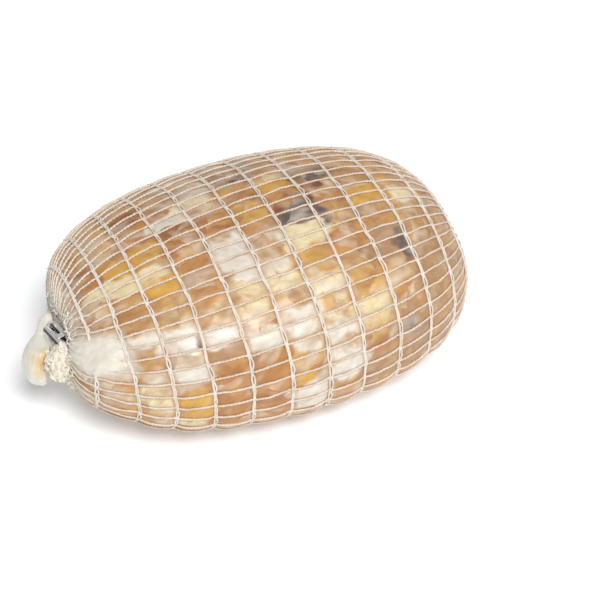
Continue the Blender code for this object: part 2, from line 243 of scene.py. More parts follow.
def swell_tree():
    """How far the meat stands over the net's own surface: in a thread's groove, and in the cell."""
    tree, add, given = new_tree("swell of the meat", {
        "Hoop": "Float", "Thread": "Float", "Place": "Vector",
    }, {"Groove": "Float", "Skin": "Float"})
    humps = []
    for count, bluntness in zip(given, CELL_BLUNTNESS):
        part = add("Math FRACT", count)
        product = add("Math MULTIPLY", part, add("Math SUBTRACT", 1.0, part))
        parabola = add("Math MULTIPLY", product, 4.0)
        humps.append(add("Math POWER", parabola, bluntness))
    rising = add("MapRange SMOOTHSTEP", given["Hoop"], 0.3, 2.0)
    loose = add("Math MULTIPLY", rising, add("MapRange SMOOTHSTEP", given["Hoop"], 12.6, 11.0))
    broad = add("TexNoise", given["Place"], Scale=1.0 / (30 * MM), Detail=1.0)
    fullness = add("MapRange", broad, 0.3, 0.7, 0.7, 1.2)
    # The meat hangs down between the hoops, so that it swells most where it is low
    height = add("SeparateXYZ", given["Place"]).outputs[2]
    sagged = add("Math MULTIPLY", fullness, add("MapRange", height, 48 * MM, 14 * MM, 1.0, SAG))
    along = add("Math MULTIPLY", humps[0], add("Math MULTIPLY", loose, sagged))
    groove = add("Math MULTIPLY_ADD", along, SWELL_ALONG, -GROOVE_DEPTH)
    hoop_number = add("Math FLOOR", given["Hoop"])
    cell = add("Math MULTIPLY_ADD", hoop_number, LABELS_A_HOOP, add("Math FLOOR", given["Thread"]))
    chance = add("RandomValue FLOAT", 0.5, 1.35, ID=cell, Seed=4)
    bulge = add("Math MULTIPLY", humps[1], add("Math POWER", humps[0], 0.45))
    held = add("Math MULTIPLY", add("Math MULTIPLY", bulge, chance), loose)
    lumpy = add("Math ADD", add("TexNoise", given["Place"], Scale=1.0 / (7 * MM), Detail=2.0), -0.5)
    lump_height = add("Math MULTIPLY", add("Math MULTIPLY", lumpy, bulge), 2.0 * MUSCLE_LUMPS)
    skin = add("Math ADD", groove, add("Math MULTIPLY_ADD", held, SWELL_ACROSS, lump_height))
    add("NodeGroupOutput", groove, skin)
    return tree


def lifted_tree():
    """A point raised off the skin, and stopped by the surface that the roast lies on."""
    tree, add, given = new_tree("lifted off the skin", {
        "Position": "Vector", "Normal": "Vector", "Lift": "Float", "Lowest": "Float",
    }, {"Position": "Vector"})
    rise = add("VectorMath SCALE", given["Normal"], given["Lift"])
    point = add("VectorMath ADD", given["Position"], rise)
    parts = add("SeparateXYZ", point).outputs
    height = add("Math SMOOTH_MAX", parts[2], given["Lowest"], FLAT_SOFTNESS)
    result = add("CombineXYZ", parts[0], parts[1], height)
    add("NodeGroupOutput", result)
    return tree


skin_of_roast = skin_tree()
swell_of_meat = swell_tree()
lifted_off_skin = lifted_tree()


def closed_tree(tree, form, material):
    """Ends a piece's tree: shaded smooth, a real mesh in place of instances, and with its material."""
    smooth = add_node(tree, "SetShadeSmooth", form)
    real = add_node(tree, "RealizeInstances", smooth)
    painted = add_node(tree, "SetMaterial", real, Material=material)
    add_node(tree, "NodeGroupOutput", painted)
    return tree


def roast_tree():
    """The tube of meat and casing: rows between the hoops, columns between the threads."""
    tree, add, given = new_tree("meat in its casing", {
        "Rows": "Int", "First row": "Float", "Columns": "Int", "Material": "Material",
    })
    index = add("InputIndex")
    rail = add("ResampleCurve", add("CurvePrimitiveLine", End=(0.0, 0.0, 1.0)), Count=given["Rows"])
    hoop = add("Math MULTIPLY_ADD", index, 1.0 / ROWS_A_HOOP, given["First row"])
    rail = add("StoreNamedAttribute", rail, Name="hoop", Value=hoop)
    ring = add("CurvePrimitiveCircle", given["Columns"], Radius=0.1)
    thread = add("Math MULTIPLY", index, 1.0 / COLUMNS_A_THREAD)
    ring = add("StoreNamedAttribute", ring, Name="thread", Value=thread)
    tube = add("CurveToMesh", rail, ring, Fill_Caps=True)
    hoop = add("InputNamedAttribute", "hoop")
    thread = add("InputNamedAttribute", "thread")
    point = add("Group", hoop, thread, node_tree=skin_of_roast)
    swelling = add("Group", hoop, thread, point, node_tree=swell_of_meat)

    # Pleats of casing run out from each neck, about one to a thread, and fade past the second hoop
    near = add("Math SUBTRACT", 1.6, hoop)
    gather = add("Math MAXIMUM", near, add("Math SUBTRACT", hoop, HOOPS - 2.4))
    pleated = add("MapRange", gather, 0.0, 1.8)
    wander = add("TexNoise", point, Scale=1.0 / (9 * MM), Detail=2.0)
    angle = add("Math MULTIPLY", add("Math MULTIPLY_ADD", wander, 3.0, thread), 2.0 * math.pi)
    fold = add("Math SINE", angle)
    height = add("Math MULTIPLY", fold, pleated)
    lift = add("Math MULTIPLY_ADD", height, PLEAT_HEIGHT / 2.0, swelling.outputs["Skin"])
    # One fold of casing by the near clip lies over the net
    off = add("VectorMath SUBTRACT", add("CombineXYZ", hoop, thread), (*FILM_FOLD_AT, 0.0))
    share = add("VectorMath DIVIDE", off, (*FILM_FOLD_REACH, 1.0))
    length = add("VectorMath LENGTH", add("VectorMath MULTIPLY", share, share))
    frayed = add("Math MULTIPLY_ADD", wander, 0.35, add("Math SQRT", length))
    fold = add("MapRange SMOOTHSTEP", frayed, 1.35, 0.90, 0.0, FILM_FOLD)
    total = add("Math ADD", lift, fold)
    moved = add("Group", point, point.outputs[1], total, FLATTEST, node_tree=lifted_off_skin)
    placed = add("SetPosition", tube, Position=moved)
    return closed_tree(tree, placed, given["Material"])


def made_by(tree, name, sizes):
    """Runs a tree with its sizes, and keeps the result as a plain mesh."""
    piece = new_object(name, bpy.data.meshes.new(name))
    modifier = piece.modifiers.new(name, "NODES")
    modifier.node_group = tree
    for socket in tree.interface.items_tree:
        if socket.item_type == "SOCKET" and socket.in_out == "INPUT":
            modifier[socket.identifier] = sizes[socket.name]
    evaluated = piece.evaluated_get(bpy.context.evaluated_depsgraph_get())
    piece.data = bpy.data.meshes.new_from_object(evaluated)
    piece.modifiers.clear()
    piece.data.name = name
    return piece


def linear(colour):
    """The linear RGBA of an sRGB hex colour."""
    values = [int(colour[i:i + 2], 16) / 255.0 for i in (1, 3, 5)]
    return tuple(v / 12.92 if v <= 0.04045 else ((v + 0.055) / 1.055) ** 2.4 for v in values) + (1.0,)


def new_material(name):
    material = bpy.data.materials.new(name)
    material.use_nodes = True
    return material, partial(add_node, material.node_tree), material.node_tree.nodes["Principled BSDF"]


# What shows through the film, in hoops and threads of the net counted from the near end's top:
# each patch is hoop, thread, half length in hoops, half width in threads, and strength.
TISSUES = {
    "thigh": ("#B38F6C", [
        (4.5, 12.5, 0.5, 0.6, 0.9), (9.3, 6.4, 0.6, 0.8, 0.6), (9.4, 8.9, 0.55, 1.3, 0.9),
        (8.7, 9.6, 0.6, 0.7, 0.5), (4.4, 7.4, 0.5, 0.6, 0.5), (8.2, 3.4, 0.35, 0.5, 0.7),
        (3.4, 9.4, 0.6, 0.6, 0.4), (9.5, 15.9, 0.6, 2.2, 1.1), (10.6, 16.0, 0.7, 2.0, 1.0),
        (7.3, 0.2, 0.7, 0.7, 0.5), (10.7, 12.5, 0.9, 2.6, 0.8), (11.2, 8.5, 0.8, 2.2, 0.6),
        (8.4, 16.6, 0.7, 1.2, 0.7),
    ]),
    "membrane": ("#ABA094", [
        (6.5, 0.1, 0.55, 1.5, 0.6), (7.45, 49.2, 0.55, 0.8, 0.7), (5.2, 48.6, 0.9, 0.9, 0.4),
        (8.4, 1.4, 0.55, 0.55, 0.8), (9.2, 14.9, 0.45, 0.9, 0.6), (7.1, 47, 1.1, 1.4, 0.7),
        # The broad patch at hoop 12.4, thread 3.5 is a painted sheen of the film along the far end's top
        (12.4, 3.5, 0.8, 5, 0.5), (4.6, 0.3, 0.5, 0.5, 0.4),
    ]),
    "pink film": ("#D0BCA9", [
        (5.4, 0.3, 0.6, 1.2, 1.1), (4.7, 49.2, 0.6, 1.1, 0.8), (5.35, 2.4, 0.6, 0.6, 0.8),
        (4.3, 7.3, 0.35, 0.5, 0.5), (6.4, 6.2, 0.8, 0.8, 0.4), (7.4, 14.4, 0.5, 0.5, 0.5),
        (3.3, 14.3, 0.5, 0.5, 0.5), (1.5, 15.6, 0.5, 1.2, 0.5), (2.3, 12.6, 0.5, 0.6, 0.5),
        (12.3, 8, 0.8, 6, 0.3),
    ]),
    "skin side": ("#B98350", [
        (3.4, 0.6, 0.6, 1.5, 0.9), (1.6, 3.6, 0.7, 1.5, 1.0), (2.4, 3.4, 0.5, 0.8, 0.7),
        (0.9, 0.5, 0.8, 1.6, 0.9), (3.3, 3.6, 0.55, 0.8, 0.8), (4.3, 1.4, 0.5, 0.6, 0.9),
        (4.5, 4.4, 0.6, 1.1, 0.8), (4.6, 6.3, 0.5, 0.6, 0.6), (4.5, 8.4, 0.55, 0.6, 0.7),
        (4.5, 15.5, 0.62, 2.4, 0.8), (5.6, 16, 0.55, 2, 0.9), (5.6, 3.9, 0.5, 0.9, 0.8),
        (6.6, 2.7, 0.5, 0.7, 0.6), (7.6, 3.5, 0.55, 0.6, 1.2), (8.6, 4.7, 0.5, 0.6, 0.6),
        (8.5, 8, 0.6, 0.9, 0.6), (7.4, 9.3, 0.5, 0.6, 0.5), (2.5, 8.3, 0.6, 0.5, 0.6),
        (5.9, 13.6, 0.3, 0.5, 0.7), (0.7, 4.5, 0.5, 1.8, 0.5), (0.7, 15.6, 0.5, 1.3, 0.6),
        (9.4, 7.4, 0.5, 0.5, 0.4),
    ]),
    "soft fat": ("#ECDCB2", [
        (2.45, 5.9, 0.6, 0.85, 1.6), (3.35, 6.3, 0.45, 0.8, 1.3), (1.6, 6.4, 0.5, 1.4, 0.5),
        (5.7, 9.3, 0.5, 0.8, 0.7), (5.4, 10.5, 0.55, 0.8, 0.6), (6.5, 9.2, 0.55, 0.9, 0.8),
        (7.45, 6.9, 0.6, 1.05, 1.7), (7.6, 10.4, 0.5, 0.6, 1.2), (7.6, 12, 0.45, 0.8, 0.6),
        (8.4, 12.8, 0.55, 1, 0.8), (10.65, 5.6, 0.45, 0.8, 1.0), (10.4, 7, 0.4, 0.5, 0.4),
        (2.5, 15.2, 0.55, 1.2, 0.6), (9.5, 4.4, 0.4, 0.5, 0.6), (3.4, 17.4, 0.5, 0.5, 0.7),
        (4.4, 10, 0.5, 0.7, 0.4), (5.3, 1.4, 0.5, 0.7, 0.9), (7.4, 1.5, 0.5, 0.5, 0.5),
        (8.6, 6.4, 0.3, 0.5, 0.4),
    ]),
    "fat": ("#D6A550", [
        (2.8, 4.5, 0.6, 0.8, 1.2), (3.4, 3.9, 0.5, 0.6, 0.7), (3.5, 7.2, 0.55, 0.75, 1.1),
        (3.55, 4.9, 0.4, 0.5, 0.6), (2.6, 7.3, 0.4, 0.6, 0.5), (3.6, 16, 0.42, 1.1, 1.2),
        (7.45, 2.4, 0.55, 0.7, 1.1), (6.4, 4, 0.5, 0.8, 0.6), (7.35, 8.2, 0.5, 0.6, 0.7),
        (9.55, 5.1, 0.5, 0.7, 1.2), (10.2, 4, 0.5, 0.8, 0.5), (8.3, 11.3, 0.4, 0.6, 0.5),
        (7.2, 11.3, 0.25, 0.5, 0.7), (8.6, 13.5, 0.35, 0.5, 0.4), (10.4, 14.8, 0.5, 1.2, 0.3),
        (3.55, 8.3, 0.4, 0.5, 0.5), (6.3, 15.3, 0.35, 0.5, 0.6),
    ]),
    "breast": ("#E6DFD1", [
        (4.5, 2.45, 0.55, 0.65, 1.5), (5.55, 6.7, 0.55, 1.1, 1.5), (5.65, 7.9, 0.45, 0.7, 1.2),
        (5.65, 5.4, 0.38, 0.5, 0.8), (6.6, 6.6, 0.4, 0.7, 0.5), (6.55, 8.3, 0.5, 0.6, 0.6),
        (6.6, 11.8, 0.5, 0.9, 1.1), (6.6, 13.3, 0.4, 0.5, 0.6), (5.55, 12.4, 0.5, 0.6, 1.1),
        (4.5, 11.5, 0.5, 0.55, 1), (3.35, 11.2, 0.5, 0.9, 1), (3.55, 13.4, 0.48, 0.6, 1.3),
        (3.5, 12.5, 0.5, 0.4, 0.6), (2.5, 13.5, 0.4, 0.5, 0.5), (6.5, 16.9, 0.5, 1.1, 1.2),
        (7.5, 15.3, 0.5, 1, 1.2), (7.5, 13.2, 0.45, 0.7, 0.8), (5.5, 0.9, 0.4, 0.6, 0.5),
        (7.6, 10.5, 0.35, 0.4, 0.6), (3.4, 2.3, 0.4, 0.4, 0.5), (10.6, 6, 0.3, 0.6, 0.4),
    ]),
    "dark meat": ("#9C6A4A", [
        (4.35, 3.4, 0.5, 0.6, 1.2), (3.5, 0.1, 0.5, 0.7, 1.0), (4.7, 4.6, 0.3, 0.35, 0.6),
        (6.8, 3, 0.25, 0.5, 0.5), (5.75, 4.4, 0.3, 0.35, 0.7), (8.6, 9, 0.3, 0.4, 0.4),
        (1.3, 2.4, 0.4, 0.6, 0.5),
    ]),
    "blood spot": ("#80483C", [
        (7.6, 4.4, 0.55, 0.6, 1.5), (8.35, 2.4, 0.4, 0.55, 1.0), (8.4, 3.1, 0.35, 0.5, 0.8),
    ]),
    "liver": ("#665D60", [
        (7.6, 5.4, 0.6, 0.6, 1.4), (8.65, 2.2, 0.45, 0.65, 1.3), (9.85, 9.3, 0.26, 1.4, 1.0),
        (3.88, 11.6, 0.12, 0.45, 0.8), (6.8, 0.5, 0.25, 0.6, 0.8), (8.05, 6.1, 0.15, 0.6, 0.9),
        (9.5, 15.1, 0.3, 0.5, 0.4),
    ]),
    "folded film": ("#ECE5D6", [
        (0.7, 11.5, 1.25, 1.95, 1.4), (2.5, 10.6, 0.4, 0.5, 0.8),
    ]),
}
# How many more patches of each tissue the sides get that don't show
UNSEEN_PATCHES = (10, 6, 10, 16, 14, 16, 34, 5, 2, 4, 0)
# Size of each wobble of the patches' borders, and its reach in hoops and in threads
WOBBLES = ((9 * MM, 0.27, 0.42), (3 * MM, 0.08, 0.16))
WOBBLE_SEED = 7
PATCH_END = 1.35
PATCH_FADE = 0.65
MASK_MOST = 1.2
THREAD_PITCH = 9.0 * MM
# How far the painted shade beside the cords reaches out from a hoop and from a thread
HOOP_SHADE_REACH = 1.6 * MM
THREAD_SHADE_REACH = 1.0 * MM
STREAKS_A_THREAD = 1.1
HAZE = 0.8
HAZE_STREAKS = 1.3
MUSCLE = "#C79E72"
# The grain of each layer, drawn out along its piece of meat: its length, its width and its fineness
GRAIN = {
    "muscle": (40.0, 24.0, 1.0), "pink": (20.0, 11.0, 1.5), "pale": (20.0, 11.0, 1.5),
    "yellow": (18.0, 10.0, 1.5), "orange": (16.0, 9.0, 1.5), "torn edge": (11.0, 6.0, 2.5),
    "cream blots": (17.0, 8.0, 1.5), "brown blots": (17.0, 8.0, 1.5), "golden blots": (18.0, 9.0, 1.5),
    "mottle": (8.0, 3.6, 2.5), "crease": (6.0, 3.0, 3.0), "wrinkles": (8.0, 4.5, 1.5),
}
GRAIN_STEP = 0.13
PIECE_SIZE = 22.0 * MM
PIECE_RAGGED = 13.0 * MM
PIECE_COLOURS = ("#DAAA60", "#E6D6BC", "#AA7248")
# Each layer's grain, where it sets in and is full, how strong it gets, and its colour
TINTS = [
    ("muscle", 0.38, 0.62, 1.0, "#BE9160"),
    ("pink", 0.50, 0.64, 0.6, "#BD9883"),
    ("pale", 0.50, 0.64, 0.6, "#DCC8A8"),
    ("yellow", 0.52, 0.66, 0.6, "#D3AB60"),
    ("orange", 0.53, 0.67, 0.6, "#B47A48"),
]
BLOTS = [
    ("cream blots", 0.48, 0.68, 0.5, "#E8DCC8"),
    ("brown blots", 0.50, 0.68, 0.55, "#A56F48"),
    ("golden blots", 0.51, 0.68, 0.5, "#D8A258"),
]


def random_patches(count, seed):
    """Patches for the sides that don't show, of the same sizes as those that do."""
    chance = np.random.default_rng(seed)
    return [(chance.uniform(1.0, 12.5), chance.uniform(21.0, 48.0), chance.uniform(0.25, 0.5),
             chance.uniform(0.35, 1.0), chance.uniform(0.5, 1.0)) for _ in range(count)]


roast = made_by(roast_tree(), "meat_in_casing", {
    "Rows": ROAST_ROWS[1] - ROAST_ROWS[0] + 1,
    "First row": ROAST_ROWS[0] / ROWS_A_HOOP,
    "Columns": THREADS * COLUMNS_A_THREAD,
    "Material": None,
})


def values_of(mesh, name):
    values = np.zeros(len(mesh.vertices), np.float32)
    mesh.attributes[name].data.foreach_get("value", values)
    return values


def keep_values(mesh, name, values):
    attribute = mesh.attributes.new(name, "FLOAT", "POINT")
    attribute.data.foreach_set("value", np.asarray(values, np.float32))


places = np.zeros(len(roast.data.vertices) * 3, np.float32)
roast.data.vertices.foreach_get("co", places)
places = places.reshape(-1, 3)
wobbled_hoop = hoop_at = values_of(roast.data, "hoop")
wobbled_thread = thread_at = values_of(roast.data, "thread")
noise.seed_set(WOBBLE_SEED)
for size, along, around in WOBBLES:
    wobble = np.array([noise.noise_vector(Vector(p) / size) for p in places.tolist()])
    wobbled_hoop = wobbled_hoop + along * wobble[:, 0]
    wobbled_thread = wobbled_thread + around * wobble[:, 1]
for seed, (tissue, (_, patches)) in enumerate(TISSUES.items()):
    mask = np.zeros(len(places))
    for hoop, thread, length, width, strength in patches + random_patches(UNSEEN_PATCHES[seed], seed + 11):
        off_thread = (wobbled_thread - thread + THREADS / 2) % THREADS - THREADS / 2
        reach = np.hypot(((wobbled_hoop - hoop) / length) ** 2, (off_thread / width) ** 2) ** 0.5
        mask = np.maximum(mask, strength * np.clip((PATCH_END - reach) / PATCH_FADE, 0.0, 1.0))
    keep_values(roast.data, tissue, np.minimum(mask, MASK_MOST))
# A band of painted shade lies along every hoop and thread, where the cords sit in their grooves; it is
# narrower by the threads near the ends
from_hoop = np.abs(hoop_at - np.round(hoop_at)) * HOOP_PITCH
ring_share = np.clip(np.minimum(hoop_at + 1.0, HOOPS - hoop_at), 0.0, 3.0) / 3.0
from_thread = np.abs(thread_at - np.round(thread_at)) * THREAD_PITCH * (0.2 + 0.8 * ring_share)
painted_cord_shade = np.maximum(np.exp(-(from_hoop / HOOP_SHADE_REACH) ** 2), np.exp(-(from_thread / THREAD_SHADE_REACH) ** 2))
keep_values(roast.data, "shade beside cord", painted_cord_shade)
gathered = np.clip((1.6 - hoop_at) / 1.9, 0.0, 1.0) + np.clip((hoop_at - 11.6) / 2.2, 0.0, 1.0)
# The folds of casing are milky in streaks, which run out from the necks between the threads
spoke = thread_at * 2.0 * math.pi / THREADS
rim = STREAKS_A_THREAD * THREADS / (2.0 * math.pi)
seats = np.stack([rim * np.cos(spoke), rim * np.sin(spoke), hoop_at * 0.8], axis=1)
streaks = np.array([noise.noise(Vector(seat)) for seat in seats.tolist()])
keep_values(roast.data, "gathered", np.clip(gathered * (HAZE + HAZE_STREAKS * streaks), 0.0, 1.0))


def meat_material():
    """Raw chicken seen through clear film: pieces, patches with torn edges, soft blots, moist gloss."""
    material, add, shader = new_material("raw chicken under clear film")
    place = add("TexCoord").outputs["Object"]
    masks = {}
    for name in (*TISSUES, "shade beside cord", "gathered"):
        masks[name] = add("Attribute", attribute_name=name).outputs["Fac"]
    # Pieces of meat lie against each other with ragged borders, and each has a grain of its own
    ragged = add("TexNoise", place, Scale=1.0 / (13 * MM), Detail=2.5)
    off = add("VectorMath SUBTRACT", ragged.outputs["Color"], (0.5, 0.5, 0.5))
    strayed = add("VectorMath MULTIPLY_ADD", off, (PIECE_RAGGED,) * 3, place)
    pieces = add("TexVoronoi", strayed, Scale=1.0 / PIECE_SIZE)
    lie = add("VectorMath SCALE", pieces.outputs["Color"], 0.9)
    along_piece = add("VectorRotate", place, Rotation=lie, rotation_type="EULER_XYZ")
    grain = {}
    for number, (name, (length, width, fineness)) in enumerate(GRAIN.items()):
        moved = add("Mapping", along_piece, Location=(GRAIN_STEP * number, 0.0, 0.0),
                    Scale=(width / length, 1.0, 1.0))
        grain[name] = add("TexNoise", moved, Scale=1.0 / (width * MM), Detail=fineness, Roughness=0.5,
                          Distortion=0.25)
    layers = []
    kinds = add("SeparateXYZ", pieces.outputs["Color"]).outputs
    for kind, hex_colour in zip(kinds, PIECE_COLOURS):
        layers.append((add("MapRange", kind, 0.50, 0.90, 0.0, 0.26), hex_colour))
    for name, sets_in, full, most, hex_colour in TINTS:
        fac = add("MapRange SMOOTHSTEP", grain[name], sets_in, full, 0.0, most)
        layers.append((fac, hex_colour))
    torn = add("MapRange", grain["torn edge"], 0.32, 0.68, 0.5, 1.4)
    for tissue, (hex_colour, _) in list(TISSUES.items())[:-1]:
        soft = add("MapRange SMOOTHSTEP", add("Math MULTIPLY", masks[tissue], torn), 0.12, 0.85)
        layers.append((soft, hex_colour))
    # Breast, thigh and fat are smooth, so that the blots hardly mark them
    smoother = masks["breast"]
    for name in ("thigh", "soft fat", "fat"):
        smoother = add("Math MAXIMUM", smoother, masks[name])
    marked = add("MapRange", smoother, 0.0, 1.0, 1.0, 0.25)
    for name, sets_in, full, most, hex_colour in BLOTS:
        fac = add("MapRange SMOOTHSTEP", grain[name], sets_in, full, 0.0, most)
        layers.append((add("Math MULTIPLY", fac, marked), hex_colour))
    # Painted shade: an orange-brown band along the cords, broken up by the torn-edge grain
    cord_shade = add("Math MULTIPLY", masks["shade beside cord"], grain["torn edge"])
    layers.append((cord_shade, "#B0783F"))
    crease = add("MapRange", grain["crease"], 0.35, 0.60, 0.45, 1.3)
    haze = add("Math MULTIPLY", masks["gathered"], crease, use_clamp=True)
    layers.append((haze, "#EAE3D6"))
    layers.append((add("MapRange", masks["folded film"], 0.1, 0.9), TISSUES["folded film"][0]))
    colour = linear(MUSCLE)
    for fac, hex_colour in layers:
        colour = add("Mix RGBA", fac, colour, linear(hex_colour))
    shades = add("MapRange", grain["mottle"], 0.33, 0.67, 0.88, 1.08)
    colour = add("Mix RGBA", 1.0, colour, shades, blend_type="MULTIPLY")
    bump = add("Bump", Height=grain["wrinkles"], Strength=0.25, Distance=0.4 * MM)
    feed(shader, Base_Color=colour, Normal=bump, Roughness=0.40, IOR=1.40, Subsurface_Weight=0.10,
         Subsurface_Radius=(1.0, 0.6, 0.4), Subsurface_Scale=1.5 * MM, Coat_Weight=0.15,
         Coat_Roughness=0.25, Coat_IOR=1.5)
    return material


roast.data.materials.clear()
roast.data.materials.append(meat_material())
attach(roast, "root")
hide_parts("roast")

# The net's hoops. Each is a knitted chain of elastic and cotton round the roast: a straight strand,
# and a second one that loops away from it between the threads, so that a row of slim eyes forms.

STEPS_A_CROSSING = 12
STRAIGHT_STRAND = 0.47 * MM
LOOPING_STRAND = 0.43 * MM
STRAIGHT_SIDE = -0.35 * MM
LOOPING_SIDE = 0.05 * MM
EYE_WIDTH = 0.75 * MM
STRAND_FIDGET = 0.22 * MM
KNOT_SWELL = 0.45
KNOT_RISE = 0.35 * MM
HOOP_WANDER = 0.9 * MM
LAST_HOOP_GATHER = 0.55


def hoop_tree():
    """All hoops at once: a ring for each, laid into its groove, then swept with a round strand."""
    tree, add, given = new_tree("hoops of the net", {
        "Hoops": "Int", "Steps": "Int", "Strand": "Float", "Side": "Float", "Eye": "Float",
        "Knot": "Float", "Sides": "Int", "Seed": "Int", "Material": "Material",
    })
    ring = add("CurvePrimitiveCircle", given["Steps"])
    rings = add("DuplicateElements", ring, Amount=given["Hoops"], domain="SPLINE")
    step = add("SplineParameter").outputs["Index"]
    thread = add("Math MULTIPLY", step, 1.0 / STEPS_A_CROSSING)
    count = rings.outputs["Duplicate Index"]
    # The outermost hoops are pulled in, half way to the clips
    first = add("Math LESS_THAN", count, 0.5)
    outer = add("Math SUBTRACT", add("Math GREATER_THAN", count, HOOPS - 1.5), first)
    number = add("Math MULTIPLY_ADD", outer, LAST_HOOP_GATHER, count)
    base = add("Group", number, thread, node_tree=skin_of_roast)
    drift = add("TexNoise", base, Scale=1.0 / (22 * MM), Detail=2.0)
    wander = add("MapRange", drift, 0.25, 0.75, -HOOP_WANDER, HOOP_WANDER)
    late = add("Math POWER", add("Math FRACT", thread), 1.4)
    sine = add("Math SINE", add("Math MULTIPLY", late, math.pi))
    bow = add("Math POWER", sine, 0.65)
    label = add("Math MULTIPLY_ADD", count, LABELS_A_HOOP, add("Math FLOOR", thread))
    chance = add("RandomValue FLOAT", 0.3, 1.35, ID=label, Seed=given["Seed"])
    eye = add("Math MULTIPLY_ADD", add("Math MULTIPLY", bow, chance), given["Eye"], given["Side"])
    swung = add("Math ADD", eye, wander)
    crimps = add("TexNoise", base, W=given["Seed"], Scale=1.0 / (2.6 * MM), Detail=1.0,
                 noise_dimensions="4D")
    off = add("Math ADD", swung, add("MapRange", crimps, 0.25, 0.75, -STRAND_FIDGET, STRAND_FIDGET))
    shifted = add("Math MULTIPLY_ADD", off, 1.0 / HOOP_PITCH, number)
    point = add("Group", shifted, thread, node_tree=skin_of_roast)
    swelling = add("Group", shifted, thread, point, node_tree=swell_of_meat)
    tighter = add("Math POWER", add("Math SUBTRACT", 1.0, bow), 3.0)
    knot = add("Math MULTIPLY_ADD", tighter, given["Knot"], given["Strand"])
    lift = add("Math ADD", knot, swelling.outputs["Groove"])
    moved = add("Group", point, point.outputs[1], lift, given["Strand"], node_tree=lifted_off_skin)
    placed = add("SetPosition", rings, Position=moved)
    strand = add("CurvePrimitiveCircle", given["Sides"], Radius=given["Strand"])
    uneven = add("MapRange", crimps.outputs["Color"], 0.3, 0.7, 0.8, 1.25)
    thickness = add("Math MULTIPLY_ADD", tighter, KNOT_SWELL, uneven)
    cords = add("CurveToMesh", placed, strand, thickness)
    return closed_tree(tree, cords, given["Material"])


def cord_material(name, clean, stained):
    """Cotton over elastic: dull, fuzzy, and soaked with a little fat where it lies in the groove."""
    material, add, shader = new_material(name)
    place = add("TexCoord").outputs["Object"]
    blots = add("TexNoise", place, Scale=1.0 / (6 * MM), Detail=3.0)
    share = add("MapRange", blots, 0.42, 0.68, 0.0, 0.8)
    colour = add("Mix RGBA", share, linear(clean), linear(stained))
    # No fat has soaked the slack yarn round the near clip
    off = add("VectorMath DISTANCE", place, NEAR_NECK)
    white = add("MapRange", off, 42 * MM, 16 * MM, 0.0, 0.8)
    colour = add("Mix RGBA", white, colour, linear("#F0EADE"))
    # The yarn's plies are about half a millimetre wide
    plies = add("TexNoise", place, Scale=1.0 / (0.5 * MM), Detail=2.0)
    bump = add("Bump", Height=plies, Strength=0.6, Distance=0.2 * MM)
    feed(shader, Base_Color=colour, Normal=bump, Roughness=0.85, Sheen_Weight=0.25, Sheen_Roughness=0.5)
    return material


hoop_yarn = cord_material("cotton covered elastic", "#EAE1D5", "#DDCBB4")
net_hoops = hoop_tree()
for name, strand, side, eye, knot, seed in (
    ("net_hoops", STRAIGHT_STRAND, STRAIGHT_SIDE, 0.0, 0.0, 1),
    ("net_hoop_eyes", LOOPING_STRAND, LOOPING_SIDE, EYE_WIDTH, KNOT_RISE, 2),
):
    piece = made_by(net_hoops, name, {
        "Hoops": HOOPS, "Steps": THREADS * STEPS_A_CROSSING, "Strand": strand, "Side": side, "Eye": eye,
        "Knot": knot, "Sides": 6, "Seed": seed, "Material": hoop_yarn,
    })
    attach(piece, "root")
    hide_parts("net")

# The net's threads. Thin two-ply cotton runs from hoop to hoop along the roast, kinked a little at
# each crossing, and the last stretches are pulled together at the two necks.

STEPS_A_CELL = 20
THREAD_RADIUS = 0.60 * MM
THREAD_CLEARANCE = 0.42 * MM
PLY_FLATNESS = 0.64
TWIST_LENGTH = 3.6 * MM
END_THICKNESS = -0.22
THREAD_WANDER = 0.09
THREAD_APART = 7.31
END_WANDER = 5.5
THREAD_KINK = 0.025
CROSSING_JOG = 0.10


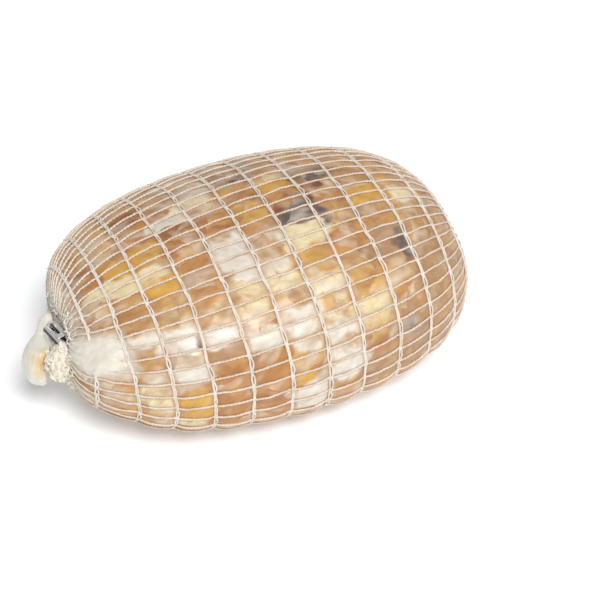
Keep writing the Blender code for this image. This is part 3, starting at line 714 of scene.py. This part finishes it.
def thread_tree():
    """All threads at once, from neck to neck, swept with a flat strand that turns as it goes."""
    tree, add, given = new_tree("threads of the net", {
        "Threads": "Int", "Points": "Int", "Strand": "Float", "Sides": "Int", "Material": "Material",
    })
    line = add("CurvePrimitiveLine", End=(0.0, 0.0, 1.0))
    even = add("ResampleCurve", line, Count=given["Points"])
    lines = add("DuplicateElements", even, Amount=given["Threads"], domain="SPLINE")
    step = add("SplineParameter").outputs["Index"]
    number = lines.outputs["Duplicate Index"]
    hoop = add("Math MULTIPLY_ADD", step, 1.0 / STEPS_A_CELL, -1.0)
    seat = add("CombineXYZ", hoop, add("Math MULTIPLY", number, THREAD_APART))
    drift = add("TexNoise", seat, Scale=1.3, Detail=3.0)
    wander = add("MapRange", drift, 0.2, 0.8, -THREAD_WANDER, THREAD_WANDER)
    # Pulled together at the ends, the yarn is slack, thinner and wanders more
    near = add("MapRange", hoop, 2.0, 0.4)
    ease = add("Math ADD", near, add("MapRange", hoop, 11.5, 13.0))
    slack = add("Math MULTIPLY", ease, END_THICKNESS)
    wander = add("Math MULTIPLY", wander, add("Math MULTIPLY_ADD", ease, END_WANDER, 1.0))
    crimps = add("TexNoise", seat, Scale=6.0, Detail=1.0)
    wander = add("Math ADD", wander, add("MapRange", crimps, 0.25, 0.75, -THREAD_KINK, THREAD_KINK))
    saw = add("Math MULTIPLY_ADD", add("Math FRACT", hoop), -CROSSING_JOG, CROSSING_JOG / 2.0)
    thread = add("Math ADD", number, add("Math ADD", wander, saw))
    point = add("Group", hoop, thread, node_tree=skin_of_roast)
    swelling = add("Group", hoop, thread, point, node_tree=swell_of_meat)
    lift = add("Math ADD", swelling.outputs["Skin"], THREAD_CLEARANCE)
    moved = add("Group", point, point.outputs[1], lift, given["Strand"], node_tree=lifted_off_skin)
    placed = add("SetPosition", lines, Position=moved)
    length = add("SplineParameter").outputs["Length"]
    turning = add("Math MULTIPLY", length, 2.0 * math.pi / TWIST_LENGTH)
    twisted = add("SetCurveTilt", placed, Tilt=turning)
    strand = add("CurvePrimitiveCircle", given["Sides"], Radius=given["Strand"])
    flatter = add("VectorMath MULTIPLY", add("InputPosition"), (1.0, PLY_FLATNESS, 1.0))
    strand = add("SetPosition", strand, Position=flatter)
    uneven = add("MapRange", add("TexNoise", seat, Scale=9.0, Detail=2.0), 0.3, 0.7, 0.82, 1.25)
    cords = add("CurveToMesh", twisted, strand, add("Math ADD", slack, uneven), Fill_Caps=True)
    return closed_tree(tree, cords, given["Material"])


thread_yarn = cord_material("two ply cotton", "#E8DACB", "#DAC2A6")
threads = made_by(thread_tree(), "net_threads", {
    "Threads": THREADS, "Points": (HOOPS + 1) * STEPS_A_CELL + 1, "Strand": THREAD_RADIUS, "Sides": 6,
    "Material": thread_yarn,
})
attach(threads, "root")
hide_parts("net")

# The fuzz of the net round the clip. Where the net is drawn together its slack yarn stands up in
# small curls and knots, thickest beside the clip.

CURLS = 120
CURL_RADIUS = 0.95 * MM
CURL_YARN = 0.36 * MM
CURL_SWEEP = math.radians(215)
CURL_FLATNESS = 0.8
CURL_PULL = 1.9 * MM
CURL_HOOPS = (-0.55, 0.5)
CURL_CLEARANCE = 0.6 * MM
CURL_CROWDING = 2.4


def curl_tree():
    """Small bows of yarn, each turned its own way and pulled out of shape, on the points given."""
    tree, add, given = new_tree("curls of yarn", {
        "Points": "Geometry", "Normal": "Vector", "Radius": "Float", "Yarn": "Float",
        "Flatness": "Float", "Pull": "Float", "Seed": "Int",
    })
    loop = add("CurveArc", Resolution=9, Radius=given["Radius"], Sweep_Angle=CURL_SWEEP)
    turn = add("RandomValue FLOAT_VECTOR", (0.0, 0.0, 0.0), (6.28, 6.28, 6.28), Seed=given["Seed"])
    spin = add("EulerToRotation", turn)
    spin = add("AlignRotationToVector", spin, given["Flatness"], given["Normal"], axis="Z")
    size = add("RandomValue FLOAT", 0.5, 1.4, Seed=given["Seed"])
    set_out = add("InstanceOnPoints", given["Points"], Instance=loop, Rotation=spin, Scale=size)
    real = add("RealizeInstances", set_out)
    bends = add("TexNoise", add("InputPosition"), Scale=1.0 / (1.1 * MM), Detail=1.0)
    centred = add("VectorMath SUBTRACT", bends.outputs["Color"], (0.5, 0.5, 0.5))
    bent = add("SetPosition", real, Offset=add("VectorMath SCALE", centred, given["Pull"]))
    strand = add("CurvePrimitiveCircle", 5, Radius=given["Yarn"])
    yarn = add("CurveToMesh", bent, strand, Fill_Caps=True)
    add("NodeGroupOutput", yarn)
    return tree


curls_of_yarn = curl_tree()


def fuzz_tree():
    """Curls on the drawn-in end of the net, each on one of its threads."""
    tree, add, given = new_tree("fuzz round the clip", {
        "Count": "Int", "Radius": "Float", "Yarn": "Float", "Seed": "Int", "Material": "Material",
    })
    nearer = add("Math POWER", add("RandomValue FLOAT", 0.0, 1.0, Seed=given["Seed"]), CURL_CROWDING)
    hoop = add("MapRange", nearer, 0.0, 1.0, *CURL_HOOPS)
    thread = add("RandomValue INT", 0, THREADS - 1, Seed=given["Seed"])
    seat = add("Group", hoop, thread, node_tree=skin_of_roast)
    top = add("VectorMath ADD", seat, add("VectorMath SCALE", seat.outputs[1], CURL_CLEARANCE))
    points = add("Points", given["Count"], top)
    curls = add("Group", points, seat.outputs[1], given["Radius"], given["Yarn"], CURL_FLATNESS, CURL_PULL,
                given["Seed"], node_tree=curls_of_yarn)
    return closed_tree(tree, curls, given["Material"])


slack_yarn = cord_material("slack cotton", "#F1EBE0", "#E6DAC6")
fuzz = made_by(fuzz_tree(), "net_fuzz", {
    "Count": CURLS, "Radius": CURL_RADIUS, "Yarn": CURL_YARN, "Seed": 3, "Material": slack_yarn,
})
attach(fuzz, "root")
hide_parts("net")
for guide in (profile_guide, section_guide):
    bpy.data.objects.remove(guide)

# The clips. Aluminium wire is bent one and a half turns round the gathered throat of the casing, and
# its flat end is pressed across both legs on top.

CLIP_WIRE = 3.4 * MM
CLIP_HALF_STRAIGHT = 6.4 * MM
CLIP_BEND = 2.8 * MM
CLIP_LEG_OFFSET = 2.2 * MM
CLIP_STEPS = 14
CLIP_TURNS = {"near_clip": math.radians(12), "far_clip": 0.0}
STRAP = (4.8 * MM, 3.2 * MM, 0.9 * MM)
STRAP_AT = -2.6 * MM
STRAP_SUNK = 0.2 * MM
STRAP_ROUNDING = 0.4 * MM
CLIP_CENTRES = {
    "near_clip": Vector((BODY_SHIFT - 99.5 * MM, -5.2 * MM, 42.1 * MM)),
    "far_clip": Vector((BODY_SHIFT + 96.6 * MM, 0.0, 38.0 * MM)),
}


def clip_path():
    """A leg over the throat, round under it, and a second leg beside the first."""
    a, b, p = CLIP_HALF_STRAIGHT, CLIP_BEND, CLIP_LEG_OFFSET
    angles = [math.pi * i / CLIP_STEPS for i in range(CLIP_STEPS + 1)]
    rounding = [(CLIP_WIRE / 2.0 * math.sin(t), math.cos(t)) for t in (1.5, 1.2, 0.8, 0.4, 0.0)]
    path = [((-p, a + past, b), thickness) for past, thickness in rounding]
    path += [((-p, -a - b * math.sin(t), b * math.cos(t)), 1.0) for t in angles]
    path += [((p, a + b * math.sin(t), -b * math.cos(t)), 1.0) for t in angles]
    path += [((p, -a - past, b), thickness) for past, thickness in reversed(rounding)]
    return [(Vector(place), thickness) for place, thickness in path]


def wire_material():
    """Drawn aluminium with a few dull scuffs, its colour a painted reflection: white on top, dark grey at
    the flanks.
    """
    material, add, shader = new_material("drawn aluminium wire")
    place = add("TexCoord").outputs["Object"]
    scuffs = add("TexNoise", place, Scale=1.0 / (1.5 * MM), Detail=4.0)
    rough = add("MapRange", scuffs, 0.4, 0.7, 0.12, 0.30)
    # Painted reflection: upward faces are coloured near white and the flanks dark grey, as a bright top and
    # a dark room would mirror
    facing = add("NewGeometry").outputs["Normal"]
    upward = add("SeparateXYZ", facing).outputs[2]
    painted_reflection = add("MapRange SMOOTHSTEP", upward, 0.45, 0.85)
    colour = add("Mix RGBA", painted_reflection, linear("#2C2E32"), linear("#FAFAFA"))
    feed(shader, Base_Color=colour, Roughness=rough, Metallic=0.75)
    return material


def strap_mesh(seat):
    """The flat end of the wire, pressed across both legs."""
    form = bmesh.new()
    bmesh.ops.create_cube(form, size=1.0, matrix=seat @ Matrix.Diagonal((*STRAP, 1.0)))
    bmesh.ops.bevel(form, geom=form.edges[:], offset=STRAP_ROUNDING, segments=3, profile=0.5, affect="EDGES")
    mesh = bpy.data.meshes.new("strap")
    form.to_mesh(mesh)
    form.free()
    return mesh


def wire_mesh(points, thicknesses):
    """Round wire along its path."""
    bent = poly_curve("wire", points)
    bent.data.bevel_depth = CLIP_WIRE / 2.0
    bent.data.bevel_resolution = 6
    bent.data.use_fill_caps = True
    bent.data.splines[0].points.foreach_set("radius", thicknesses)
    mesh = bpy.data.meshes.new_from_object(bent)
    bpy.data.objects.remove(bent)
    return mesh


clip_wire = wire_material()
points, thicknesses = zip(*clip_path())
for node, centre in CLIP_CENTRES.items():
    turned = Matrix.Rotation(CLIP_TURNS[node], 3, "Z")
    on_top = Matrix.Translation((0.0, STRAP_AT, CLIP_BEND + CLIP_WIRE / 2.0 - STRAP_SUNK))
    strap = strap_mesh(Matrix.Translation(centre) @ turned.to_4x4() @ on_top)
    wire = wire_mesh([centre + turned @ point for point in points], thicknesses)
    for mesh, part in ((strap, "_strap"), (wire, "_wire")):
        mesh.materials.clear()
        mesh.materials.append(clip_wire)
        mesh.shade_smooth()
        piece = new_object(node + part, mesh)
        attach(piece, "root")
        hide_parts(node)

# The knob of casing past the near clip: the film's spare end, gathered into soft folds and milky
# where it doubles up, with a little yellow fat caught inside it.

CASING_TAIL_SPINE = [
    (-101.0, 4.6, 50.4, 1.2, 1.2),
    (-101.6, 4.8, 48.2, 2.6, 3.0),
    (-103.8, 4.4, 45.4, 2.2, 2.8),
    (-106.0, 2.4, 43.0, 1.7, 2.6),
    (-107.6, -1.2, 41.4, 3.4, 4.6),
    (-108.8, -3.5, 40.6, 5.0, 6.4),
    (-110.6, -4.4, 36.0, 6.2, 7.6),
    (-111.0, -4.6, 30.0, 6.6, 7.8),
    (-110.6, -4.6, 24.0, 5.6, 6.6),
    (-110.4, -4.6, 19.4, 2.2, 2.6),
]
KNOB_ROWS = 90
KNOB_SIDES = 96
KNOB_FOLDS = 0.16
KNOB_CRUMPLE = 0.05
KNOB_FAT_AT = (BODY_SHIFT - 109 * MM, -12 * MM, 36 * MM)


def smooth_path(points, count):
    """Points along a smooth curve through a few chosen ones; each is a position and its half sizes."""
    values = np.array(points)
    slopes = np.gradient(values, axis=0)
    result = []
    for place in np.linspace(0.0, len(points) - 1.0, count):
        i = min(int(place), len(points) - 2)
        f = place - i
        h00, h10 = 2 * f**3 - 3 * f**2 + 1, f**3 - 2 * f**2 + f
        h01, h11 = -2 * f**3 + 3 * f**2, f**3 - f**2
        result.append(h00 * values[i] + h10 * slopes[i] + h01 * values[i + 1] + h11 * slopes[i + 1])
    return result


def bunch(name, material, spine, fold_depth, crumple):
    """A soft lump of ovals along a spine, folded lengthways and dented a little."""
    points = []
    for x, y, z, thick, wide in smooth_path(spine, KNOB_ROWS):
        for i in range(KNOB_SIDES):
            angle = 2.0 * math.pi * i / KNOB_SIDES
            direction = Vector((math.cos(angle), math.sin(angle), 0.0))
            seat = direction * 1.3 + Vector((0.0, 0.0, z * 0.035))
            fold = noise.noise(seat * 2.2) * fold_depth + noise.noise(seat * 6.0) * crumple
            swell = 1.0 + fold + 0.03 * math.cos(3 * angle + 0.21 * z)
            points.append(((x + BODY_SHIFT / MM + thick * swell * direction.x) * MM,
                           (y + wide * swell * direction.y) * MM, z * MM))
    faces = []
    for row in range(KNOB_ROWS - 1):
        for i in range(KNOB_SIDES):
            j = (i + 1) % KNOB_SIDES
            a, b = row * KNOB_SIDES, (row + 1) * KNOB_SIDES
            faces.append((a + i, b + i, b + j, a + j))
    faces.append(tuple(range(KNOB_SIDES)))
    last = (KNOB_ROWS - 1) * KNOB_SIDES
    faces.append(tuple(last + i for i in reversed(range(KNOB_SIDES))))
    mesh = bpy.data.meshes.new(name)
    mesh.from_pydata(points, [], faces)
    mesh.shade_smooth()
    mesh.materials.append(material)
    return new_object(name, mesh)


def knob_material():
    """Film in many layers: milky white and soft, tinted by the fat behind it, with a wet gloss."""
    material, add, shader = new_material("gathered film casing")
    place = add("TexCoord").outputs["Object"]
    off = add("VectorMath DISTANCE", place, KNOB_FAT_AT)
    blur = add("TexNoise", place, Scale=1.0 / (4 * MM), Detail=3.0)
    reach = add("Math MULTIPLY_ADD", blur, 8 * MM, off)
    fatty = add("MapRange SMOOTHSTEP", reach, 13.5 * MM, 6 * MM, 0.0, 0.8)
    colour = add("Mix RGBA", fatty, linear("#E2DFD2"), linear("#DFB878"))
    feed(shader, Base_Color=colour, Roughness=0.32, IOR=1.45, Subsurface_Weight=0.35,
         Subsurface_Radius=(1.0, 0.85, 0.6), Subsurface_Scale=3.0 * MM, Coat_Weight=0.4,
         Coat_Roughness=0.15)
    return material


knob = bunch("gathered_casing", knob_material(), CASING_TAIL_SPINE, KNOB_FOLDS, KNOB_CRUMPLE)
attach(knob, "root")
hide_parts("casing_tail")

# The frill: the net's cut end, pulled through the clip, hangs in front of the knob as a soft lump of
# crumpled net and film, covered all over with loops of its yarn.

FRILL_SPINE = [
    (-99.8, -12.6, 46.4, 0.8, 1.2),
    (-100.4, -13.6, 44.8, 2.6, 2.8),
    (-101.0, -14.0, 42.2, 4.6, 4.8),
    (-101.0, -13.8, 39.0, 6.6, 7.0),
    (-100.2, -13.4, 35.2, 7.4, 8.4),
    (-99.4, -13.4, 31.6, 6.8, 8.0),
    (-98.8, -13.2, 28.8, 4.8, 6.0),
    (-98.8, -13.0, 27.2, 1.8, 2.4),
]
FRILL_FOLDS = 0.45
FRILL_CRUMPLE = 0.38
FRILL_LOOPS = 7.0e4
FRILL_LOOP_RADIUS = 1.50 * MM
FRILL_YARN = 0.52 * MM
FRILL_FLATNESS = 0.95
FRILL_PULL = 1.5 * MM


def lump_material():
    """Crumpled net and film: cream and matt above with painted shade in its pits, paler and glossier where
    the film shows.
    """
    material, add, shader = new_material("crumpled net and film")
    place = add("TexCoord").outputs["Object"]
    height = add("SeparateXYZ", place).outputs[2]
    low = add("MapRange", height, 31 * MM, 25 * MM)
    colour = add("Mix RGBA", low, linear("#ECE4D2"), linear("#EAEAE3"))
    # Painted shade: the colour turns brown where the bump is lowest, in its pits
    pits = add("TexNoise", place, Scale=1.0 / (1.6 * MM), Detail=3.0)
    painted_pit_shade = add("MapRange", pits, 0.42, 0.34, 0.0, 0.75)
    colour = add("Mix RGBA", painted_pit_shade, colour, linear("#B79A76"))
    bump = add("Bump", Height=pits, Strength=0.8, Distance=0.9 * MM)
    rough = add("MapRange", low, 0.0, 1.0, 0.8, 0.35)
    feed(shader, Base_Color=colour, Normal=bump, Roughness=rough, Subsurface_Weight=0.2,
         Subsurface_Radius=(1.0, 0.9, 0.7), Subsurface_Scale=2.0 * MM)
    return material


def frill_tree(lump):
    """Loops of yarn scattered over the lump."""
    tree, add, given = new_tree("loops of the frill", {
        "Density": "Float", "Radius": "Float", "Yarn": "Float", "Seed": "Int", "Material": "Material",
    })
    form = add("ObjectInfo", lump).outputs["Geometry"]
    points = add("DistributePointsOnFaces", form, Density=given["Density"], Seed=given["Seed"])
    curls = add("Group", points.outputs["Points"], points.outputs["Normal"], given["Radius"], given["Yarn"],
                FRILL_FLATNESS, FRILL_PULL, given["Seed"], node_tree=curls_of_yarn)
    return closed_tree(tree, curls, given["Material"])


lump = bunch("net_frill_lump", lump_material(), FRILL_SPINE, FRILL_FOLDS, FRILL_CRUMPLE)
frill = made_by(frill_tree(lump), "net_frill_loops", {
    "Density": FRILL_LOOPS, "Radius": FRILL_LOOP_RADIUS, "Yarn": FRILL_YARN, "Seed": 6,
    "Material": slack_yarn,
})
for piece in (lump, frill):
    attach(piece, "root")
    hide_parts("net_tail")

# The studio: a white paper sweep to lie on, a white room, and one big softbox in front of the roast,
# so far off that it shines like a soft sun. The camera stands where the photograph's did.

FLOOR_HALF = 4.0
PIXEL = 0.4768 * MM
ELEVATION = math.radians(40.67)
AZIMUTH = math.radians(24.51)
FOCAL_PIXELS = 1600.0
FRAME_PIXELS = 600.0
AIM_RIGHT = 43.7
AIM_UP = -18.7

floor_mesh = bpy.data.meshes.new("white_sweep")
corners = ((-1, -1), (1, -1), (1, 1), (-1, 1))
floor_mesh.from_pydata([(x * FLOOR_HALF, y * FLOOR_HALF, 0.0) for x, y in corners], [], [(0, 1, 2, 3)])
floor = new_object("white_sweep", floor_mesh)
paper, _, shader = new_material("white paper")
feed(shader, Base_Color=linear("#F5F7F9"), Roughness=0.9, Specular_IOR_Level=0.1,
     Emission_Color=linear("#F8FBFF"), Emission_Strength=0.20)
floor_mesh.materials.append(paper)

room = bpy.data.worlds.new("white room")
room.use_nodes = True
backdrop = room.node_tree.nodes["Background"]
add = partial(add_node, room.node_tree)
height = add("SeparateXYZ", add("TexCoord").outputs["Generated"]).outputs[2]
# The room is dim near the floor, which gives the metal something dark to mirror
brightness = add("MapRange", height, 0.05, 0.40, 0.16, 0.31)
feed(backdrop, Strength=brightness, Color=(1.0, 1.0, 1.0, 1.0))
bpy.context.scene.world = room
bpy.context.scene.view_settings.view_transform = "Standard"

LAMP_FROM = Vector((0.0, -0.75, 1.05))
lamp_light = bpy.data.lights.new("front softbox", "SUN")
lamp_light.energy = 2.60
lamp_light.angle = math.radians(24)
lamp = new_object("front softbox", lamp_light)
lamp.rotation_euler = LAMP_FROM.to_track_quat("Z", "Y").to_euler()

right = Vector((math.cos(AZIMUTH), -math.sin(AZIMUTH), 0.0))
up = Vector((math.sin(AZIMUTH) * math.sin(ELEVATION), math.cos(AZIMUTH) * math.sin(ELEVATION),
             math.cos(ELEVATION)))
look = Vector((math.sin(AZIMUTH) * math.cos(ELEVATION), math.cos(AZIMUTH) * math.cos(ELEVATION),
               -math.sin(ELEVATION)))
aim = Vector((BODY_SHIFT, 0.0, AXIS_HEIGHT)) + (right * AIM_RIGHT + up * AIM_UP) * PIXEL
lens = bpy.data.cameras.new("camera")
lens.sensor_width = 36.0
lens.lens = FOCAL_PIXELS / FRAME_PIXELS * lens.sensor_width
camera = new_object("camera", lens)
turned = Matrix((right, up, -look)).transposed().to_4x4()
turned.translation = aim - look * FOCAL_PIXELS * PIXEL
camera.matrix_world = turned
bpy.context.scene.camera = camera
